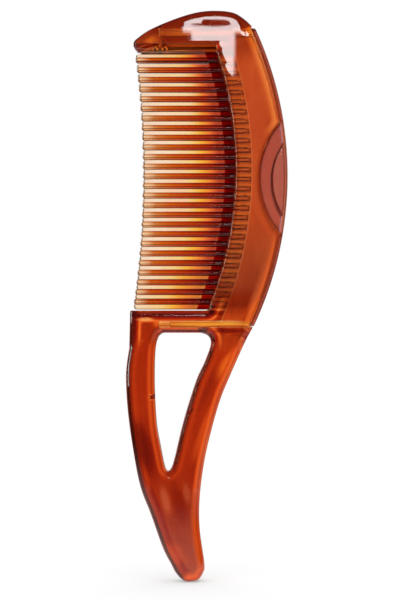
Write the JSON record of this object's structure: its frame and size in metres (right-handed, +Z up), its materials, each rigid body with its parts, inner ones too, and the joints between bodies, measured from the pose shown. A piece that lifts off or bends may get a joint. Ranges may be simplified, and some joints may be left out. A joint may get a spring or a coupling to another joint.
{
  "type": "slide-out comb",
  "caption": "Clear amber loop-handled comb with staggered rows of blunt massage teeth on a cartridge that slides out of the spine to wipe them clean.",
  "frame": {"origin": "on the surface that the tail tip stands on, under the middle of the comb's width and thickness", "axes": "+Z up from the tail tip to the cap, +X from the tooth tips to the spine, -Y out of the front face"},
  "size_m": [0.0566, 0.013, 0.2],
  "materials": {
    "frame_amber": "clear amber, polished",
    "guide_amber": "clear deep amber, polished",
    "tooth_honey": "clear honey, polished",
    "grip_amber": "clear amber, fine satin"
  },
  "bodies": {
    "frame": {"front_shell": "frame_amber", "rear_shell": "frame_amber", "tooth_guide": "guide_amber"},
    "cartridge": {"front_tooth_plate": "tooth_honey", "rear_tooth_plate": "tooth_honey", "upper_runner": "tooth_honey", "lower_runner": "tooth_honey", "spine_grip": "grip_amber", "front_thumb_pad": "grip_amber", "rear_thumb_pad": "grip_amber"}
  },
  "joints": [
    {"name": "cartridge_slide", "type": "slide", "parent": "frame", "child": "cartridge", "axis": [1, 0, 0], "range_m": [0, 0.0295]}
  ]
}
